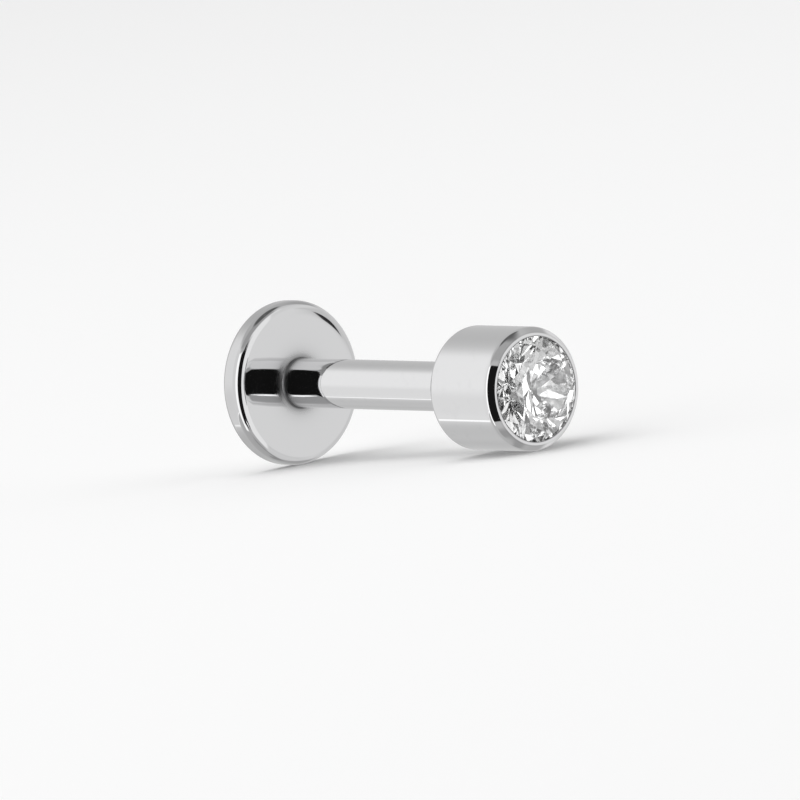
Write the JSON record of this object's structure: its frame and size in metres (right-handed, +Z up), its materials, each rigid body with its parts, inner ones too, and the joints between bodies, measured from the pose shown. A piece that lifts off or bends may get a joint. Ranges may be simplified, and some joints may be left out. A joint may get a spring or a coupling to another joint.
{
  "type": "labret stud",
  "caption": "Flat-back labret stud: a round disc with a straight post, and a bezel cup that plugs into the post and holds a faceted clear stone.",
  "frame": {"origin": "bottom centre of the stud's box, on the surface that the stud lies on", "axes": "+Z up; the stud lies on its side along X with the stone towards +X, its axis dipping 3.4 degrees below +X because the cup is smaller than the disc; +Y across"},
  "size_m": [0.0096, 0.004, 0.004],
  "materials": {
    "polished_steel": "mirror polished, with fine hairline scratches",
    "clear_stone": "colourless, faceted and polished"
  },
  "bodies": {
    "root": {"disc_post": "polished_steel", "bezel_cup": "polished_steel", "stone": "clear_stone"}
  },
  "joints": []
}
